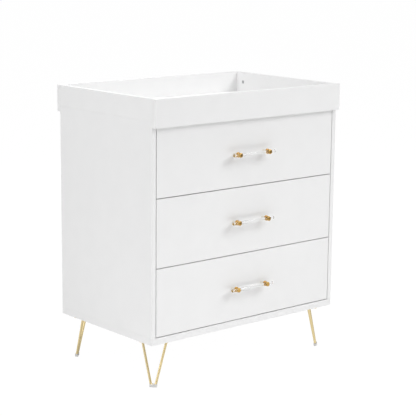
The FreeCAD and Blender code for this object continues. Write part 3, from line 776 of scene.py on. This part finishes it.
def plate_with_holes(mesh_code, sizes, place):
    """A mounting plate with rounded corners and four drilled holes."""
    loops = [rounded_ring(sizes.plate_width / 2, sizes.plate_depth / 2, sizes.plate_corner)]
    for side in (sizes.hole_side, -sizes.hole_side):
        for out in (sizes.hole_out, -sizes.hole_out):
            loops.append([(side + x, out + y) for x, y in circle(sizes.hole, 24)])
    rims = []
    for height in (0.0, -sizes.plate):
        verts = [[mesh_code.verts.new(place @ Vector((x, y, height))) for x, y in loop] for loop in loops]
        fill_loops(mesh_code, verts)
        rims.append(verts)
    for upper, lower in zip(*rims):
        bridge(mesh_code, upper, lower)


def leg_place(sizes, corner):
    """Placement of a leg's own frame in its corner, +Y outward along the diagonal."""
    low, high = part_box("bottom_panel")
    side, end = CORNERS[corner]
    x = (high.x - sizes.inset) * side
    y = high.y - sizes.inset if end > 0 else low.y + sizes.inset
    spin = math.atan2(-side, end)
    return Matrix.Translation((x, y, low.z)) @ Matrix.Rotation(spin, 4, "Z")


def make_leg(context, corner):
    """One hairpin: a bent rod welded to its plate."""
    sizes = context.scene.dresser_legs
    node = "leg_" + corner
    place = leg_place(sizes, corner)
    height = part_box("bottom_panel")[0].z
    path = hairpin_path(sizes, height)
    mesh_code = bmesh.new()
    tube(mesh_code, [place @ p for p in path], sizes.rod)
    weld_gap = 0.0002
    for end, seed in ((path[0], 1.0), (path[-1], 2.5)):
        weld_bead(mesh_code, place @ end, sizes.rod + weld_gap, sizes.weld, seed)
    plate_with_holes(mesh_code, sizes, place)
    return new_piece(node + "_hairpin", mesh_code, leg_gold_material(context), node)


def make_foot_caps(context):
    """Moulded boots, rounded below, that the rods' bends stand in."""
    sizes = context.scene.dresser_legs
    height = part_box("bottom_panel")[0].z
    rim = 0.0008
    quarter = [math.radians(degrees) for degrees in range(0, 91, 15)]
    levels = [(sizes.cap_edge * (1 - math.sin(angle)), sizes.cap_edge * (1 - math.cos(angle)))
              for angle in quarter]
    levels += [(0, sizes.cap_height - rim), (rim * 0.3, sizes.cap_height - rim * 0.3),
               (rim, sizes.cap_height)]
    mesh_code = bmesh.new()
    for corner in CORNERS:
        place = leg_place(sizes, corner) @ Matrix.Translation((0, sizes.splay, -height))
        rings = []
        for inset, z in levels:
            ring = rounded_ring(sizes.cap_width / 2 - inset, sizes.cap_depth / 2 - inset,
                                sizes.cap_corner - inset)
            rings.append([mesh_code.verts.new(place @ Vector((x, y, z))) for x, y in ring])
        for low, high in zip(rings, rings[1:]):
            bridge(mesh_code, low, high)
        mesh_code.faces.new(list(reversed(rings[0])))
        mesh_code.faces.new(rings[-1])
    return new_piece("moulded_foot_caps", mesh_code, foot_cap_material(context), "foot_caps")


class DRESSER_OT_legs(bpy.types.Operator):
    """Make the gold hairpin legs and their foot caps"""
    bl_idname = "dresser.legs"
    bl_label = "Make the legs"

    def execute(self, context):
        for corner in CORNERS:
            make_leg(context, corner)
        make_foot_caps(context)
        return {"FINISHED"}


# Fittings --------------------------------------------------------------------------------------


def make_screws(context, node):
    """Countersunk cross-recess screws, where the node's screws are."""
    recess = context.scene.dresser_fittings.recess
    mesh_code = bmesh.new()
    for points in solids_of(node):
        index, ends, radius = long_axis(points)
        wide = [max((p - end).length for p in points if abs(p[index] - end[index]) < 1e-5) for end in ends]
        head, tip = ends if wide[0] > wide[1] else reversed(ends)
        length = (head - tip).length
        shank = radius / 2
        place = along(head, head - tip)
        rim = recessed_face(mesh_code, radius=radius * 0.97, arm=radius * 0.55, width=radius * 0.17,
                            depth=recess, place=place)
        join_rims(mesh_code, rim, [(radius, -0.0001), (shank, shank - radius), (shank, -length * 0.7),
                                   (shank * 0.1, -length)], place)
    return new_piece(node + "_cross", mesh_code, screw_material(context), node)


def open_face(low, high, index):
    """Middle of a cam lock's open face, which looks inward along X, rearward along Y or down along Z."""
    inner = low if abs(low.x) < abs(high.x) else high
    face = (low + high) / 2
    face[index] = (inner, high, low)[index][index]
    return face


def make_cam_fittings(context, node):
    """Cam locks with a cross recess in their open face, and the bolts that they draw in."""
    recess = context.scene.dresser_fittings.recess
    mesh_code = bmesh.new()
    for points in solids_of(node):
        low, high = points_box(points)
        size = high - low
        if max(size) > 2 * sorted(size)[1]:
            _, (start, end), radius = long_axis(points)
            length = (end - start).length
            outline = eased([(0, 0), (radius, 0), (radius, length), (0, length)], radius * 0.2, 2)
            turn(mesh_code, outline, along(start, end - start), sides=24)
            continue
        index = min(range(3), key=lambda i: size[i])
        face = open_face(low, high, index)
        radius, depth = max(size) / 2, size[index]
        place = along(face, face - (low + high) / 2)
        rim = recessed_face(mesh_code, radius=radius * 0.93, arm=radius * 0.62, width=radius * 0.2,
                            depth=recess * 1.5, place=place)
        join_rims(mesh_code, rim, [(radius * 0.99, -0.0003), (radius * 0.99, -depth)], place)
    return new_piece(node + "_cross", mesh_code, zinc_material(context), node)


class DRESSER_OT_fittings(bpy.types.Operator):
    """Make the cam fittings and screws"""
    bl_idname = "dresser.fittings"
    bl_label = "Make the fittings"

    def execute(self, context):
        for node, slot in SLOTS.items():
            if slot == "zinc":
                make_cam_fittings(context, node)
            if slot == "screw_steel" and not node.endswith("_bolts"):
                make_screws(context, node)
        return {"FINISHED"}


class DRESSER_OT_runners(bpy.types.Operator):
    """Enamel the drawer runners and give their rollers moulded nylon"""
    bl_idname = "dresser.runners"
    bl_label = "Finish the runners"

    def execute(self, context):
        for node, slot in SLOTS.items():
            if slot == "runner_enamel":
                paint(frame["nodes"][node], enamel_material(context))
            if slot == "roller_nylon":
                paint(frame["nodes"][node], nylon_material(context))
        return {"FINISHED"}


# Stage -----------------------------------------------------------------------------------------


def background_rays(tree, glossy_share=1.0):
    """1 for rays that should see the plain white background, 0 for the rest."""
    rays = tree.nodes.new("ShaderNodeLightPath")
    glossy = tree.nodes.new("ShaderNodeMath")
    glossy.operation = "MULTIPLY"
    glossy.inputs[1].default_value = glossy_share
    wire(tree, rays.outputs["Is Glossy Ray"], glossy.inputs[0])
    total = rays.outputs["Is Camera Ray"]
    for seen in (rays.outputs["Is Transmission Ray"], glossy.outputs["Value"]):
        either = tree.nodes.new("ShaderNodeMath")
        either.operation = "MAXIMUM"
        wire(tree, total, either.inputs[0])
        wire(tree, seen, either.inputs[1])
        total = either.outputs["Value"]
    return total


def make_world(strength):
    """Even white light from all round, in front of a plain white background."""
    world = bpy.data.worlds.new("studio_air")
    bpy.context.scene.world = world
    world.use_nodes = True
    tree = world.node_tree
    tree.nodes.clear()
    output = tree.nodes.new("ShaderNodeOutputWorld")
    mix = tree.nodes.new("ShaderNodeMixShader")
    light, white = (tree.nodes.new("ShaderNodeBackground") for _ in range(2))
    light.inputs["Color"].default_value = (1, 1, 1, 1)
    light.inputs["Strength"].default_value = strength
    white.inputs["Color"].default_value = (1, 1, 1, 1)
    white.inputs["Strength"].default_value = 1.0
    wire(tree, background_rays(tree), mix.inputs[0])
    wire(tree, light.outputs[0], mix.inputs[1])
    wire(tree, white.outputs[0], mix.inputs[2])
    wire(tree, mix.outputs[0], output.inputs["Surface"])


def make_floor():
    """A wide pale floor: white to the eye, with a trace of the dresser's shadow."""
    half_width, matt_grey = 30, 0.86
    white_share, white_strength, glossy_share = 0.94, 1.04, 0.75
    mesh_code = bmesh.new()
    bmesh.ops.create_grid(mesh_code, x_segments=4, y_segments=4, size=half_width)
    mesh = bpy.data.meshes.new("studio_floor")
    mesh_code.to_mesh(mesh)
    mesh_code.free()
    floor = bpy.data.objects.new("studio_floor", mesh)
    bpy.context.scene.collection.objects.link(floor)
    material = bpy.data.materials.new("studio_floor_white")
    material.use_nodes = True
    tree = material.node_tree
    tree.nodes.clear()
    output = tree.nodes.new("ShaderNodeOutputMaterial")
    mix, faint = (tree.nodes.new("ShaderNodeMixShader") for _ in range(2))
    matt = tree.nodes.new("ShaderNodeBsdfDiffuse")
    matt.inputs["Color"].default_value = (matt_grey, matt_grey, matt_grey, 1)
    glow = tree.nodes.new("ShaderNodeEmission")
    glow.inputs["Color"].default_value = (1, 1, 1, 1)
    glow.inputs["Strength"].default_value = white_strength
    faint.inputs[0].default_value = white_share
    wire(tree, matt.outputs[0], faint.inputs[1])
    wire(tree, glow.outputs[0], faint.inputs[2])
    wire(tree, background_rays(tree, glossy_share), mix.inputs[0])
    wire(tree, matt.outputs[0], mix.inputs[1])
    wire(tree, faint.outputs[0], mix.inputs[2])
    wire(tree, mix.outputs[0], output.inputs["Surface"])
    floor.data.materials.append(material)


def flag(name, location, target, half_width, half_height, grey):
    """A grey board beside the dresser that only its gold and gloss reflect."""
    mesh_code = bmesh.new()
    bmesh.ops.create_grid(mesh_code, x_segments=2, y_segments=2, size=half_width)
    bmesh.ops.scale(mesh_code, vec=(1, half_height / half_width, 1), verts=mesh_code.verts[:])
    mesh = bpy.data.meshes.new(name)
    mesh_code.to_mesh(mesh)
    mesh_code.free()
    board = bpy.data.objects.new(name, mesh)
    bpy.context.scene.collection.objects.link(board)
    board.location = location
    board.rotation_euler = (Vector(target) - Vector(location)).to_track_quat("-Z", "Y").to_euler()
    board.visible_camera = board.visible_diffuse = board.visible_shadow = False
    board.visible_transmission = board.visible_volume_scatter = False
    material = bpy.data.materials.new(name + "_cloth")
    material.use_nodes = True
    shader = material.node_tree.nodes["Principled BSDF"]
    shader.inputs["Base Color"].default_value = (grey, grey, grey, 1)
    shader.inputs["Roughness"].default_value = 0.9
    board.data.materials.append(material)


def area_light(name, power, location, target, width, height):
    """A rectangular lamp; the strips near the floor leave no streak on the gold."""
    data = bpy.data.lights.new(name, "AREA")
    data.shape = "RECTANGLE"
    data.size = width
    data.size_y = height
    data.energy = power
    lamp = bpy.data.objects.new(name, data)
    bpy.context.scene.collection.objects.link(lamp)
    lamp.location = location
    lamp.rotation_euler = (Vector(target) - Vector(location)).to_track_quat("-Z", "Y").to_euler()
    lamp.visible_glossy = not name.endswith("_strip")


def make_camera(stage):
    """A camera that looks at a point over the cabinet's middle."""
    middle = (CAD_BOX[0] + CAD_BOX[1]) / 2
    azimuth, elevation = stage.azimuth, stage.elevation
    back = Vector((math.sin(azimuth) * math.cos(elevation), -math.cos(azimuth) * math.cos(elevation),
                   math.sin(elevation)))
    right = Vector((math.cos(azimuth), math.sin(azimuth), 0))
    up = back.cross(right)
    cabinet_front, cabinet_back = (corner.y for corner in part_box("bottom_panel"))
    turn_point = Vector((middle.x, (cabinet_front + cabinet_back) / 2, stage.aim_height))
    data = bpy.data.cameras.new("studio_camera")
    data.lens = stage.lens
    data.sensor_width = 36.0
    camera = bpy.data.objects.new("studio_camera", data)
    bpy.context.scene.collection.objects.link(camera)
    side = right * math.cos(stage.roll) + up * math.sin(stage.roll)
    top = up * math.cos(stage.roll) - right * math.sin(stage.roll)
    camera.matrix_world = Matrix((
        (side.x, top.x, back.x, 0), (side.y, top.y, back.y, 0), (side.z, top.z, back.z, 0), (0, 0, 0, 1)))
    camera.location = turn_point + right * stage.aim_side + back * stage.distance
    bpy.context.scene.camera = camera


class DRESSER_OT_stage(bpy.types.Operator):
    """Make the floor, the lights and the camera"""
    bl_idname = "dresser.stage"
    bl_label = "Set the stage"

    def execute(self, context):
        stage = context.scene.dresser_stage
        make_world(stage.ambient)
        make_floor()
        for name, power, share, *placement in LAMPS:
            area_light(name, getattr(stage, power) * share, *placement)
        for row in FLAGS:
            flag(*row)
        make_camera(stage)
        context.scene.view_settings.view_transform = "Standard"
        return {"FINISHED"}


# Add-on ----------------------------------------------------------------------------------------

OPERATORS = (DRESSER_OT_boards, DRESSER_OT_handles, DRESSER_OT_legs, DRESSER_OT_fittings,
             DRESSER_OT_runners, DRESSER_OT_stage)


class DRESSER_PT_looks(bpy.types.Panel):
    """Sidebar panel with the steps and their settings"""
    bl_idname = "DRESSER_PT_looks"
    bl_label = "Changing dresser"
    bl_space_type = "VIEW_3D"
    bl_region_type = "UI"
    bl_category = "Dresser"

    def draw(self, context):
        for operator in OPERATORS:
            self.layout.operator(operator.bl_idname)
        for name, group in PROPERTY_GROUPS.items():
            box = self.layout.box()
            box.label(text=group.__name__)
            for key in group.__annotations__:
                box.prop(getattr(context.scene, name), key)


def register():
    """Make the add-on's classes and settings known to Blender."""
    for group in PROPERTY_GROUPS.values():
        bpy.utils.register_class(group)
    for operator in OPERATORS:
        bpy.utils.register_class(operator)
    bpy.utils.register_class(DRESSER_PT_looks)
    for name, group in PROPERTY_GROUPS.items():
        setattr(bpy.types.Scene, name, PointerProperty(type=group))


def unregister():
    """Take the add-on's settings and classes away again."""
    for name in PROPERTY_GROUPS:
        delattr(bpy.types.Scene, name)
    bpy.utils.unregister_class(DRESSER_PT_looks)
    for operator in reversed(OPERATORS):
        bpy.utils.unregister_class(operator)
    for group in reversed(PROPERTY_GROUPS.values()):
        bpy.utils.unregister_class(group)


def main():
    """Run every step in order."""
    register()
    bpy.ops.dresser.boards()
    bpy.ops.dresser.handles()
    bpy.ops.dresser.legs()
    bpy.ops.dresser.fittings()
    bpy.ops.dresser.runners()
    bpy.ops.dresser.stage()


if __name__ == "__main__":
    main()
